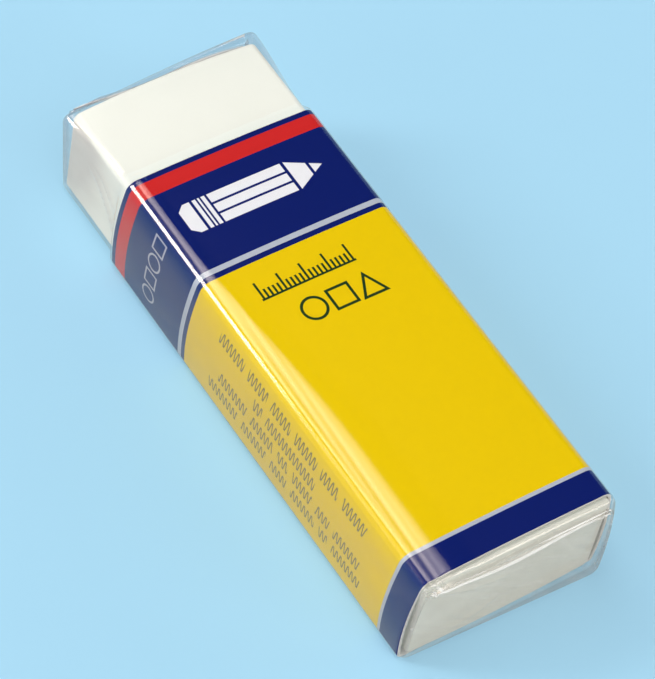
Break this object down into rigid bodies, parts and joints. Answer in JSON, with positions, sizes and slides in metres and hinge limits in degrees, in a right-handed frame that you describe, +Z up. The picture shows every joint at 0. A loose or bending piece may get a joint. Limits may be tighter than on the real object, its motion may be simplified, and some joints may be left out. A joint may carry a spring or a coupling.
{
  "type": "wrapped eraser",
  "caption": "White vinyl block eraser in a printed card sleeve, bare at one end and sealed in clear shrink film.",
  "frame": {"origin": "on the surface that the wrapped eraser lies on, under the middle of its box", "axes": "+X along the block, from its covered end to its bare end; +Y across it; +Z up"},
  "size_m": [0.0632, 0.0238, 0.0127],
  "materials": {
    "vinyl": "smooth, soft white vinyl with a faint matt bloom",
    "printed_card": "coated card printed in flat yellow, navy, red and grey bands, white on the inside",
    "film": "clear glossy shrink film, gathered and welded at both ends"
  },
  "bodies": {
    "root": {"eraser_block": "vinyl", "card_sleeve": "printed_card", "clear_film": "film"}
  },
  "joints": []
}
